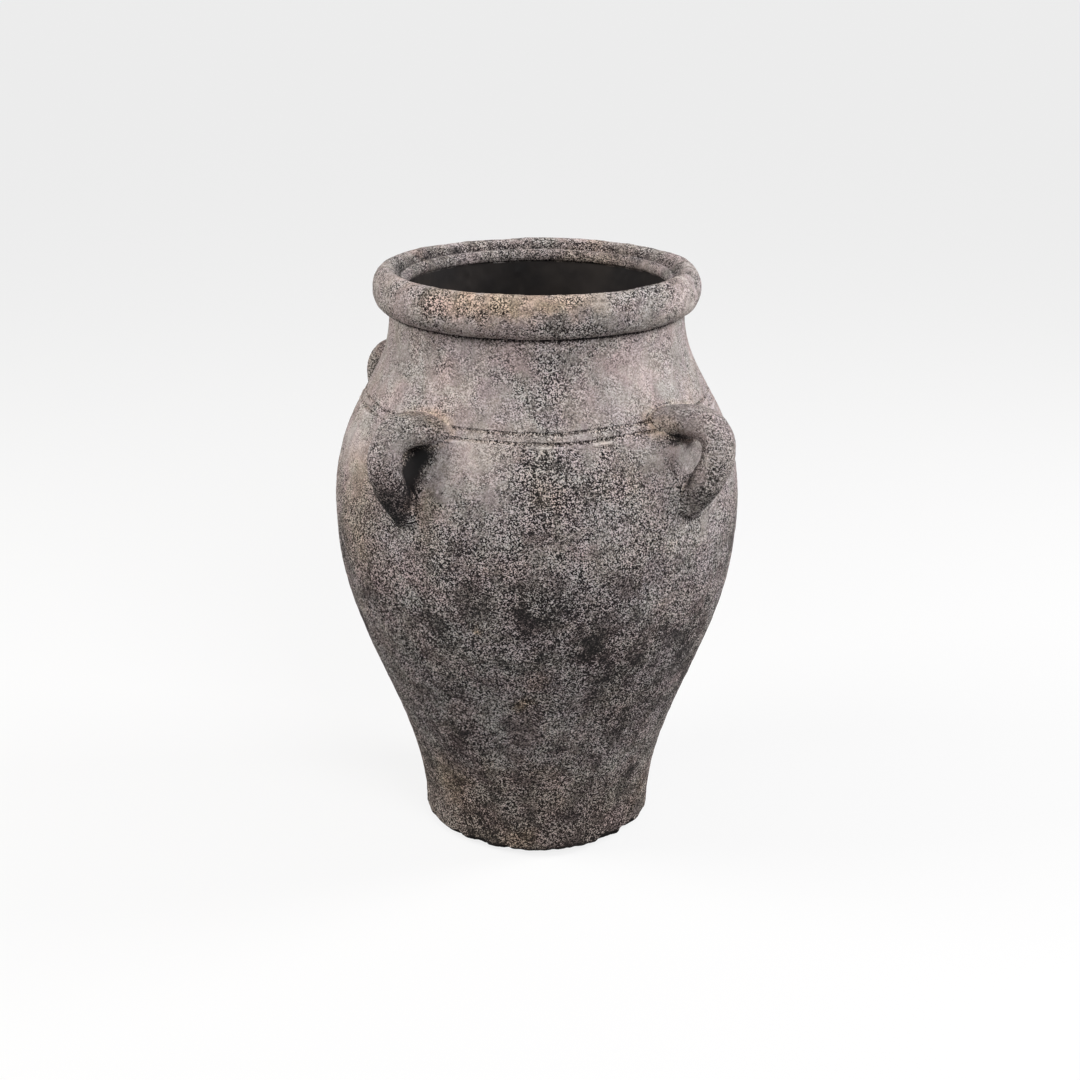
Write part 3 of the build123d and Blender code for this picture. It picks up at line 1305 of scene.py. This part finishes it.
@dataclass
class TurnedPiece:
    """A piece turned round the jar's axis. Its subclasses draw its section."""

    sizes: JarSizes
    finishes: Finishes
    node: str = ""
    neighbours: list[Piece] = field(default_factory=list)
    push: Push = Push.WALL
    steps: int = 720
    row: float = 0.0018
    fine_row: float = 0.0006
    inner_row: float = 0.007
    flat_row: float = 0.02
    sharp: float = 55.0
    line_reach: float = 0.9
    under_roll_reach: float = 0.0016
    under_roll_start: float = 1.5
    neck_margin: float = 0.003

    def section(self) -> Profile:
        """Points of the section: closed, or from the axis back to it."""
        raise NotImplementedError

    def is_inner(self, centres: np.ndarray) -> np.ndarray:
        """Tell which faces belong to the dark inside: none, unless a subclass says."""
        return np.zeros(len(centres), bool)

    def make(self) -> Piece:
        """Model the piece and give it its relief and its finish.

        Returns:
            The finished piece.
        """
        piece = Bench.draw(f"{self.node}_clay", self.section())
        Bench.turn(piece, self.steps)
        centres = np.empty(len(piece.data.polygons) * 3)
        piece.data.polygons.foreach_get("center", centres)
        inner = self.is_inner(centres.reshape(-1, 3))
        piece.data.materials.append(self.finishes.clay)
        if inner.any():
            self._coat(piece, inner)
        places = Bench.vectors(piece, "co")
        Mark.CREVICE.keep(piece, self.crevices(places))
        Mark.STAIN.keep(piece, self.extra_soot_and_shade(places))
        self.finishes.weather.wear(piece, self.push, self.neighbours)
        Bench.smooth(piece, self.sharp)
        return dressed(piece, self.node)

    def _coat(self, piece: Piece, inner: np.ndarray) -> None:
        """Give the inner faces the dark coat.

        Args:
            piece: The piece to coat.
            inner: True for each inner face.
        """
        piece.data.materials.append(self.finishes.coat)
        with Bench.editing(piece):
            bpy.ops.mesh.select_mode(type="FACE")
            bpy.ops.mesh.select_all(action="DESELECT")
        piece.data.polygons.foreach_set("select", inner)
        bpy.ops.object.mode_set(mode="EDIT")
        piece.active_material_index = 1
        bpy.ops.object.material_slot_assign()
        bpy.ops.mesh.select_mode(type="VERT")
        bpy.ops.object.mode_set(mode="OBJECT")

    def crevices(self, places: np.ndarray) -> np.ndarray:
        """Find how deep in a crevice each vertex lies: in the incised lines, or under the rim's roll.

        Args:
            places: The vertices.

        Returns:
            How deep in a crevice each lies, from 0 to 1, where the finish paints shade.
        """
        reach = self.sizes.line_radius * self.line_reach
        depths = [closeness(places[:, 2] - line, reach) for line in self.sizes.lines]
        by_neck = from_axis(places) <= self.sizes.wall.neck_radius + self.neck_margin
        return np.maximum.reduce(depths + [self.under_roll(places[:, 2] - self.sizes.roll_low) * by_neck])

    def under_roll(self, away: np.ndarray) -> np.ndarray:
        """How far each vertex is in the crease under the rim's roll, from 0 to 1."""
        return closeness(away, self.under_roll_reach, self.under_roll_start)

    def extra_soot_and_shade(self, places: np.ndarray) -> np.ndarray:
        """Soot and painted shade at each vertex beyond what the finish gives it: none, unless a subclass
        says.
        """
        return np.zeros(len(places))


@dataclass
class Course(TurnedPiece):
    """One thrown course of the wall, from the joint under it to the joint above."""

    low: float = 0.0
    high: float = 0.0
    fine_below: float = 0.008
    fine_above: float = 0.005
    coat_depth: float = 0.9
    coat_rows: int = 400

    def outer_rows(self, high: float) -> list[float]:
        """Divide the outer face into rows, close together across the incised lines.

        Args:
            high: Height of the outer face's upper edge.

        Returns:
            The heights of the rows.
        """
        rows = [self.low]
        first, last = self.sizes.lines
        while rows[-1] < high:
            near = first - self.fine_below < rows[-1] < last + self.fine_above
            rows.append(rows[-1] + (self.fine_row if near else self.row))
        if high - rows[-2] < self.fine_row / 2:
            rows.pop()
        rows[-1] = high
        return rows

    def outer_face(self, high: float) -> Profile:
        """Points of the outer face, from the joint below up to a height."""
        return [(self.sizes.lined_radius(height), height) for height in self.outer_rows(high)]

    def inner_face(self, high: float, row: float) -> Profile:
        """Points of the inner face, from a height down to the joint below."""
        wall = self.sizes.wall
        return [(wall.radius(height) - wall.thickness, height) for height in even_steps(high, self.low, row)]

    def section(self) -> Profile:
        """Outer face up, the groove in the top edge, inner face down and the wedge below."""
        points = self.outer_face(self.high) + self.sizes.joint(self.high)
        points += self.inner_face(self.high, self.inner_row) + self.sizes.joint(self.low)[::-1]
        return points + points[:1]

    def is_inner(self, centres: np.ndarray) -> np.ndarray:
        """Inner faces lie well inside the wall.

        Args:
            centres: The middle of each face.

        Returns:
            True for each inner face.
        """
        wall = self.sizes.wall
        rows = np.linspace(0, self.sizes.roll_high, self.coat_rows)
        limits = [wall.radius(row) - wall.thickness * self.coat_depth for row in rows]
        return from_axis(centres) < np.interp(centres[:, 2], rows, limits)


@dataclass
class FloorSlab(TurnedPiece):
    """The round base, with its bevelled and broken lower edge."""

    bevel_depth: float = 0.0136
    bevel_bulge: float = 0.16
    rim_band: float = 0.036
    band_row: float = 0.003
    coat_height: float = 0.9
    coat_inset: float = 0.01

    def section(self) -> Profile:
        """Underside out from the axis, up the bevel and the edge, over the groove and back to the axis.

        Returns:
            The section's points.
        """
        wall = self.sizes.wall
        foot, top = wall.foot_radius, self.sizes.floor_joint
        flat = foot - self.bevel_depth
        band = flat - self.rim_band
        under = even_steps(0, band, self.flat_row)[:-1] + even_steps(band, flat, self.band_row)
        bevel = even_steps(0, 1, self.row / math.hypot(self.bevel_depth, wall.foot_height))[1:]
        return (
            [(radius, 0.0) for radius in under]
            + [(flat + self.bevel_depth * (share + self.bevel_bulge * math.sin(math.pi * share)),
                wall.foot_height * share) for share in bevel]
            + [(wall.radius(height), height) for height in even_steps(wall.foot_height, top, self.row)[1:]]
            + self.sizes.joint(top)
            + [(radius, top) for radius in even_steps(foot - wall.thickness, 0, self.flat_row)]
        )

    def is_inner(self, centres: np.ndarray) -> np.ndarray:
        """The floor inside the jar."""
        high = centres[:, 2] > self.sizes.floor_joint * self.coat_height
        return high & (from_axis(centres) < self.sizes.wall.foot_radius - self.coat_inset)


@dataclass
class NeckCollar(Course):
    """The last course: the neck, its seat for the rim, and the upright lip with a bead inside it."""

    bead_reach: float = 0.0042
    bead_turn: float = 0.22
    lip_row: float = 0.0012
    bead_margin: float = 0.0005
    crease_inset: float = 0.0028
    crease_reach: float = 0.0035
    # Painted shade in the crease at the lip's top and under the roll.
    crease_shade: float = 0.50
    bead_dirt: float = 0.20

    def section(self) -> Profile:
        """Neck up to the seat, the lip, its inner bead, the inner face down and the wedge below.

        Returns:
            The section's points.
        """
        sizes = self.sizes
        bore, lip, top = sizes.wall.bore, sizes.lip_radius, sizes.lip_height
        half = sizes.bead_height / 2
        points = self.outer_face(sizes.seat_height) + [(lip, sizes.seat_height)]
        points += [(radius, top) for radius in even_steps(lip, bore, self.lip_row)]
        points += [(bore - self.bead_reach * math.sin(turn), top - half + half * math.cos(turn))
                   for turn in even_steps(0, math.pi, self.bead_turn)[1:]]
        points += self.inner_face(sizes.bead_low, self.inner_row / 2)[1:] + sizes.joint(self.low)[::-1]
        return points + points[:1]

    def is_inner(self, centres: np.ndarray) -> np.ndarray:
        """Inner faces, the bead among them, since the coat's edge runs along it."""
        return super().is_inner(centres) | (from_axis(centres) < self.sizes.wall.bore + self.bead_margin)

    def extra_soot_and_shade(self, places: np.ndarray) -> np.ndarray:
        """Painted shade in the creases between the lip and the roll and under the roll, and some dirt on the
        bead.

        Args:
            places: The vertices.

        Returns:
            The soot and painted shade to add at each.
        """
        sizes, radius, height = self.sizes, from_axis(places), places[:, 2]
        crease = np.hypot(radius - sizes.lip_radius + self.crease_inset, height - sizes.lip_height)
        bead = (radius < sizes.wall.bore) & (height > sizes.bead_low)
        # Painted shade in the creases, and dirt on the bead.
        return (closeness(crease, self.crease_reach) * self.crease_shade
                + self.under_roll(height - sizes.roll_low) * self.crease_shade
                + bead * self.bead_dirt)


@dataclass
class RimRoll(TurnedPiece):
    """The thick oval roll round the lip."""

    overlap: float = 0.0010
    roll_row: float = 0.0016
    crease_inset: float = 0.0032
    crease_reach: float = 0.00833
    crease_start: float = 1.5
    # Painted shade in the crease by the lip, and under the roll by the neck.
    crease_shade: float = 0.38
    under_shade: float = 0.5
    roll_dirt: float = 0.045

    def section(self) -> Profile:
        """Over the roll from the lip's top to its underside, then the seat on the neck and the lip.

        Returns:
            The section's points.
        """
        sizes = self.sizes
        half_width = sizes.roll_width / 2
        half_height = (sizes.roll_high - sizes.roll_low) / 2
        middle = sizes.roll_outer - half_width
        height = sizes.roll_low + half_height
        neck = sizes.wall.neck_radius - self.overlap
        start = math.pi - math.asin((sizes.lip_height - height) / half_height)
        end = -math.pi / 2 - math.asin((middle - neck) / half_width)
        points = [(middle + half_width * math.cos(turn), height + half_height * math.sin(turn))
                  for turn in even_steps(start, end, self.roll_row / half_height)]
        points += [(neck, sizes.seat_height), (sizes.lip_radius, sizes.seat_height)]
        points += [(sizes.lip_radius, sizes.lip_height)]
        return points + points[:1]

    def extra_soot_and_shade(self, places: np.ndarray) -> np.ndarray:
        """Painted shade in the creases by the lip and by the neck, and soot over all the roll.

        Args:
            places: The vertices.

        Returns:
            The soot and painted shade to add at each.
        """
        sizes, radius, height = self.sizes, from_axis(places), places[:, 2]
        crease = np.hypot(radius - sizes.lip_radius + self.crease_inset, height - sizes.lip_height)
        under = np.hypot(radius - sizes.wall.neck_radius, height - sizes.roll_low)
        # Painted shade in the creases, and soot over all the roll.
        return (closeness(crease, self.crease_reach, self.crease_start) * self.crease_shade
                + self.under_roll(under) * self.under_shade + self.roll_dirt)


@dataclass(frozen=True)
class StrapSection:
    """One section of a strap: where along it, how wide and how thick."""

    share: float
    width: float
    thickness: float


@dataclass
class StrapHandle:
    """A pulled strap, pressed onto the shoulder at its wide root and onto the belly at its tail."""

    sizes: JarSizes
    finishes: Finishes
    node: str
    turn: float
    lean: float
    lift: float
    smoke_and_shade: float
    # Soot with painted shade, darker down the strap, and painted shade on its side that faces the wall.
    darkening_reach: float = 0.055
    least_darkening: float = 0.25
    inner_shade: float = 0.40
    inner_turn: float = 1.5
    root_drop: float = 0.002
    root_bury: float = 0.018
    crook_reach: float = 0.012
    crook_rise: float = 0.007
    corner_reach: float = 0.035
    corner_rise: float = 0.002
    crest_drop: float = 0.016
    bend_drop: float = 0.050
    bend_shift: float = 0.009
    tail_drop: float = 0.0765
    tail_bury: float = 0.006
    finger_gap: float = 0.021
    strap_thickness: float = 0.0325
    sections: tuple[StrapSection, ...] = (
        StrapSection(0.0, 0.082, 0.031),
        StrapSection(0.2, 0.057, strap_thickness),
        StrapSection(0.45, 0.0345, strap_thickness),
        StrapSection(0.72, 0.0345, strap_thickness),
        StrapSection(1.0, 0.026, 0.026),
    )
    path_steps: int = 18
    ring_points: int = 56
    landing_span: float = 44.0
    landing_reach: float = 0.045
    landing_row: float = 0.003
    landing_steps: int = 24
    landing_sink: float = 0.0007
    landing_thickness: float = 0.009
    cutter_sink: float = 0.0005
    cutter_thickness: float = 0.06
    cutter_margin: float = 14.0
    voxel: float = 0.0013
    smear: float = 0.5
    smear_rounds: int = 8
    sharp: float = 60.0
    wall_rows: int = 600
    clear_from: float = 0.002
    clear_at: float = 0.008
    crease_offset: float = 0.0005
    crease_reach: float = 0.003

    @property
    def root_height(self) -> float:
        """Height at which the strap's root leaves the wall."""
        return self.sizes.neck_joint - self.root_drop + self.lift

    def path(self) -> list[Vector]:
        """Follow a smooth curve through the strap's points, in the XZ plane.

        Returns:
            Points along the middle of the strap, from root to tail.
        """
        wall, root = self.sizes.wall, self.root_height
        start = wall.radius(root)
        crest = wall.radius(root - self.crest_drop) + self.finger_gap + self.strap_thickness / 2
        tail = wall.radius(root - self.tail_drop) - self.tail_bury
        stations = (
            (start - self.root_bury, 0.0),
            (start + self.crook_reach, self.crook_rise),
            (start + self.corner_reach, self.corner_rise),
            (crest, -self.crest_drop),
            (crest - self.bend_shift, -self.bend_drop),
            (tail, -self.tail_drop),
        )
        curve = bpy.data.curves.new(f"{self.node}_path", "CURVE")
        curve.dimensions = "3D"
        curve.resolution_u = self.path_steps
        spline = curve.splines.new("BEZIER")
        spline.bezier_points.add(len(stations) - 1)
        for point, (radius, rise) in zip(spline.bezier_points, stations):
            point.co = (radius, 0, root + rise)
            point.handle_left_type = point.handle_right_type = "AUTO"
        holder = bpy.data.objects.new(curve.name, curve)
        bpy.context.scene.collection.objects.link(holder)
        bpy.context.view_layer.update()
        mesh = bpy.data.meshes.new_from_object(holder.evaluated_get(bpy.context.evaluated_depsgraph_get()))
        points = [vertex.co.copy() for vertex in mesh.vertices]
        bpy.data.objects.remove(holder)
        bpy.data.meshes.remove(mesh)
        return points

    def size_at(self, share: float) -> tuple[float, float]:
        """Find the size of the strap at a share of its length.

        Args:
            share: Share of the way from root to tail.

        Returns:
            The strap's width and thickness there.
        """
        for first, second in zip(self.sections, self.sections[1:]):
            if share <= second.share:
                break
        part = (share - first.share) / (second.share - first.share)
        part = part * part * (3 - 2 * part)
        return (first.width + (second.width - first.width) * part,
                first.thickness + (second.thickness - first.thickness) * part)

    def strap(self) -> Piece:
        """Extrude an oval ring along the path, turning and scaling it as it goes.

        Returns:
            The strap as a closed mesh, in the plane of its path, leant over.
        """
        points = self.path()
        lengths = [0.0]
        for here, there in zip(points, points[1:]):
            lengths.append(lengths[-1] + (there - here).length)
        ways = [points[1] - points[0]]
        ways += [after - before for before, after in zip(points, points[2:])]
        ways.append(points[-1] - points[-2])
        angles = [math.atan2(way.z, way.x) for way in ways]
        width, thickness = self.size_at(0.0)
        Bench.clear()
        bpy.ops.mesh.primitive_circle_add(vertices=self.ring_points, radius=1.0, fill_type="NGON")
        piece = Bench.named(f"{self.node}_clay")
        Bench.set_down(piece, Matrix.Translation(points[0])
                       @ Matrix.Rotation(math.pi / 2 - angles[0], 4, "Y")
                       @ Matrix.Diagonal((thickness / 2, width / 2, 1, 1)))
        with Bench.editing(piece):
            for number in range(1, len(points)):
                step = points[number] - points[number - 1]
                about = {"center_override": points[number]}
                new_width, new_thickness = self.size_at(lengths[number] / lengths[-1])
                grow = new_thickness / thickness
                bpy.ops.mesh.extrude_region_move(TRANSFORM_OT_translate={"value": step})
                bpy.ops.transform.rotate(value=angles[number] - angles[number - 1], orient_axis="Y", **about)
                bpy.ops.transform.resize(value=(grow, new_width / width, grow), **about)
                width, thickness = new_width, new_thickness
            bpy.ops.mesh.select_all(action="SELECT")
            bpy.ops.mesh.normals_make_consistent(inside=False)
        pivot = Matrix.Translation((0, 0, self.root_height))
        Bench.set_down(piece, pivot @ Matrix.Rotation(math.radians(self.lean), 4, "X") @ pivot.inverted())
        return piece

    def landing(self, name: str, outer: float, inner: float, span: float) -> Piece:
        """Make a piece of the wall's own form behind the strap.

        Args:
            name: Name of the new piece.
            outer: How far its outer face lies inside the wall's.
            inner: How far its inner face lies inside the wall's.
            span: How far round it reaches, in degrees.

        Returns:
            The closed piece of wall, facing +X.
        """
        wall = self.sizes.wall
        top = self.root_height + self.landing_reach
        low = self.root_height - self.tail_drop - self.landing_reach
        rows = even_steps(low, top, self.landing_row)
        points = [(wall.radius(row) - outer, row) for row in rows]
        points += [(wall.radius(row) - inner, row) for row in rows[::-1]]
        piece = Bench.draw(name, points + points[:1])
        Bench.turn(piece, self.landing_steps, math.radians(span))
        Bench.set_down(piece, Matrix.Rotation(-math.radians(span) / 2, 4, "Z"))
        return piece

    def make(self) -> Piece:
        """Press the strap onto the wall: join it to a landing, smear the corner, and trim the landing off.

        Returns:
            The finished piece.
        """
        piece = self.strap()
        landing = self.landing(f"{self.node}_landing", self.landing_sink, self.landing_thickness,
                               self.landing_span)
        Bench.pick(landing)
        piece.select_set(True)
        bpy.context.view_layer.objects.active = piece
        bpy.ops.object.join()
        Bench.modify(piece, "REMESH", mode="VOXEL", voxel_size=self.voxel)
        Bench.modify(piece, "SMOOTH", factor=self.smear, iterations=self.smear_rounds)
        cutter = self.landing(f"{self.node}_cutter", self.cutter_sink, self.cutter_thickness,
                              self.landing_span + self.cutter_margin)
        Bench.modify(piece, "BOOLEAN", operation="DIFFERENCE", object=cutter, solver="EXACT")
        bpy.data.objects.remove(cutter)
        self._keep_largest(piece)
        Bench.set_down(piece, Matrix.Rotation(math.radians(self.turn - 90), 4, "Z"))
        self._mark(piece)
        piece.data.materials.clear()
        piece.data.materials.append(self.finishes.clay)
        self.finishes.weather.wear(piece, Push.STRAP, [])
        Bench.smooth(piece, self.sharp)
        return dressed(piece, self.node)

    @staticmethod
    def _keep_largest(piece: Piece) -> None:
        """Drop the crumbs of the landing that the trim left.

        Args:
            piece: The trimmed piece.
        """
        name = piece.name
        with Bench.editing(piece):
            bpy.ops.mesh.separate(type="LOOSE")
        *crumbs, kept = sorted(bpy.context.selected_objects, key=lambda part: len(part.data.vertices))
        for crumb in crumbs:
            if crumb != piece:
                bpy.data.objects.remove(crumb)
        if kept != piece:
            piece.data = kept.data
            bpy.data.objects.remove(kept)
        piece.name = name

    def _mark(self, piece: Piece) -> None:
        """Mark how far each vertex stands clear of the wall, its crease by the wall, and the soot and
        painted shade on it.

        Args:
            piece: The trimmed piece, in its place.
        """
        places, normals = Bench.vectors(piece, "co"), Bench.vectors(piece, "normal")
        radius = from_axis(places)
        rows = np.linspace(0, self.sizes.roll_high, self.wall_rows)
        away = radius - np.interp(places[:, 2], rows, [self.sizes.wall.radius(row) for row in rows])
        clear = np.interp(away, (self.clear_from, self.clear_at), (0, 1))
        facing_in = -(normals[:, :2] * places[:, :2]).sum(axis=1) / radius
        inside = np.clip(facing_in * self.inner_turn, 0, 1)
        low = np.clip((self.root_height - places[:, 2]) / self.darkening_reach, self.least_darkening, 1)
        Mark.CLEAR.keep(piece, clear)
        Mark.CREVICE.keep(piece, closeness(away - self.crease_offset, self.crease_reach))
        # Soot with painted shade low on the strap, and painted shade on the side that faces the wall.
        Mark.STAIN.keep(piece, clear * (self.smoke_and_shade * low + self.inner_shade * inside))


def dressed(piece: Piece, node: str) -> Piece:
    """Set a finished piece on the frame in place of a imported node.

    Args:
        piece: The finished piece.
        node: The node that it stands for.

    Returns:
        The same piece.
    """
    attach(piece, BODY)
    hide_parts(node)
    LOG.info("%s: %d faces", piece.name, len(piece.data.polygons))
    return piece


@dataclass
class Jar:
    """The whole jar: its floor, its courses, its rim and its three handles."""

    sizes: JarSizes
    finishes: Finishes

    def make(self) -> list[Piece]:
        """Make every piece.

        Returns:
            The pieces: the body's from the ground up, then the handles.
        """
        shared = self.sizes, self.finishes
        sizes, belly = self.sizes, self.sizes.wall.belly_height
        handles = [
            StrapHandle(*shared, "handle_middle", turn=1.7, lean=2.0, lift=0.0, smoke_and_shade=0.58).make(),
            StrapHandle(*shared, "handle_right", turn=91.0, lean=-15.5, lift=0.0, smoke_and_shade=0.22).make(),
            StrapHandle(*shared, "handle_left", turn=-89.0, lean=0.0, lift=0.007, smoke_and_shade=0.50).make(),
        ]
        makers = (
            FloorSlab(*shared, "floor_slab"),
            Course(*shared, "lower_wall", low=sizes.floor_joint, high=sizes.lower_joint),
            Course(*shared, "belly_wall", low=sizes.lower_joint, high=belly),
            Course(*shared, "shoulder_wall", handles, low=belly, high=sizes.neck_joint),
            NeckCollar(*shared, "neck_collar", handles, low=sizes.neck_joint),
            RimRoll(*shared, "rim_roll", push=Push.ROLL),
        )
        return [maker.make() for maker in makers] + handles


@dataclass(frozen=True)
class Lamp:
    """A soft square lamp: where it stands, seen from the camera's side, and how strong it is."""

    name: str
    turn: float
    elevation: float
    size: float
    power: float
    colour: Triple
    distance: float = 2.4

    def hang(self, aim: Vector) -> None:
        """Hang the lamp and turn it to a point.

        Args:
            aim: The point that it lights.
        """
        light = bpy.data.lights.new(self.name, "AREA")
        light.energy = self.power
        light.size = self.size
        light.color = self.colour
        lamp = bpy.data.objects.new(self.name, light)
        tilt = math.radians(self.elevation)
        level, rise = self.distance * math.cos(tilt), self.distance * math.sin(tilt)
        away = around(PHOTO_AZIMUTH + self.turn, level, rise)
        lamp.location = aim + away
        lamp.rotation_euler = (-away).to_track_quat("-Z", "Y").to_euler()
        bpy.context.scene.collection.objects.link(lamp)


@dataclass(frozen=True)
class Studio:
    """Pale floor, soft lamps and a white surround."""

    floor_size: float = 60.0
    floor_drop: float = 0.0004
    floor_colour: Triple = (0.34, 0.34, 0.34)
    floor_shown: Triple = (0.75, 0.75, 0.75)
    floor_white: float = 0.82
    floor_roughness: float = 0.9
    floor_specular: float = 0.1
    sky: float = 0.10
    aim_height: float = 0.33
    lamps: tuple[Lamp, ...] = (
        Lamp("right_lamp", turn=98, elevation=32, size=0.8, power=42.0, colour=(1.0, 0.99, 1.0)),
        Lamp("front_lamp", turn=22, elevation=38, size=0.9, power=34.0, colour=(0.995, 0.99, 1.0)),
        Lamp("left_lamp", turn=-84, elevation=36, size=1.1, power=46.0, colour=(1.0, 0.97, 0.935)),
    )

    def build(self) -> None:
        """Lay the floor, hang the lamps and light the surround."""
        Bench.clear()
        bpy.ops.mesh.primitive_plane_add(size=self.floor_size, location=(0, 0, -self.floor_drop))
        floor = bpy.context.object
        floor.name = "studio_floor"
        floor.data.materials.append(self._floor_material())
        for lamp in self.lamps:
            lamp.hang(Vector((0, 0, self.aim_height)))
        self._surround()

    def _floor_material(self) -> bpy.types.Material:
        """Make the pale floor, which the camera sees nearly white, with the jar's shadow kept.

        Returns:
            The floor's material.
        """
        material, wiring, shader = new_material("pale_floor", self.floor_roughness, self.floor_specular)
        seen = self._seen(wiring)
        wiring.feed(shader.inputs["Base Color"], seen.mix(self.floor_colour, self.floor_shown))
        glow = wiring.node("ShaderNodeEmission")
        blend = wiring.node("ShaderNodeMixShader",
                            (seen * self.floor_white, shader.outputs[0], glow.outputs[0]))
        wiring.feed(material.node_tree.nodes["Material Output"].inputs["Surface"], blend.outputs[0])
        return material

    @staticmethod
    def _seen(wiring: Wiring) -> Field:
        """1 for what the camera sees, straight, mirrored or through glass, and 0 for other light."""
        paths = wiring.node("ShaderNodeLightPath").outputs
        kinds = ("Is Camera Ray", "Is Glossy Ray", "Is Transmission Ray")
        return sum(Field(wiring, paths[kind]) for kind in kinds).least(1.0)

    def _surround(self) -> None:
        """Light the jar softly from all round, white where the camera sees it."""
        world = bpy.data.worlds.new("studio_surround")
        bpy.context.scene.world = world
        world.use_nodes = True
        wiring = Wiring(world.node_tree)
        background = world.node_tree.nodes["Background"]
        background.inputs["Color"].default_value = (1.0, 1.0, 1.0, 1.0)
        wiring.feed(background.inputs["Strength"], self._seen(wiring) * (1 - self.sky) + self.sky)


@dataclass(frozen=True)
class PhotoCamera:
    """The camera at the photograph's angle."""

    distance: float = 1.6
    height: float = 0.9025
    pitch: float = 20.38
    lens: float = 54.06
    shift: float = 0.0028
    sensor: float = 36.0

    def set_up(self) -> None:
        """Stand the camera and make it the scene's own."""
        data = bpy.data.cameras.new("photo_camera")
        data.sensor_width = self.sensor
        data.lens = self.lens
        data.shift_x = self.shift
        camera = bpy.data.objects.new("photo_camera", data)
        camera.location = around(PHOTO_AZIMUTH, self.distance, self.height)
        camera.rotation_euler = (math.radians(90 - self.pitch), 0, math.radians(PHOTO_AZIMUTH))
        bpy.context.scene.collection.objects.link(camera)
        bpy.context.scene.camera = camera


def main() -> None:
    """Build the jar and its studio."""
    logging.basicConfig(level=logging.INFO, format="%(name)s %(message)s")
    sizes = JarSizes.from_frame()
    jar = Jar(sizes, Finishes.for_jar(sizes))
    pieces = jar.make()
    LOG.info("made %d pieces for %d packed nodes", len(pieces), len(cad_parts))
    Studio().build()
    PhotoCamera().set_up()
    bpy.context.scene.view_settings.view_transform = "Standard"


if __name__ == "__main__":
    main()
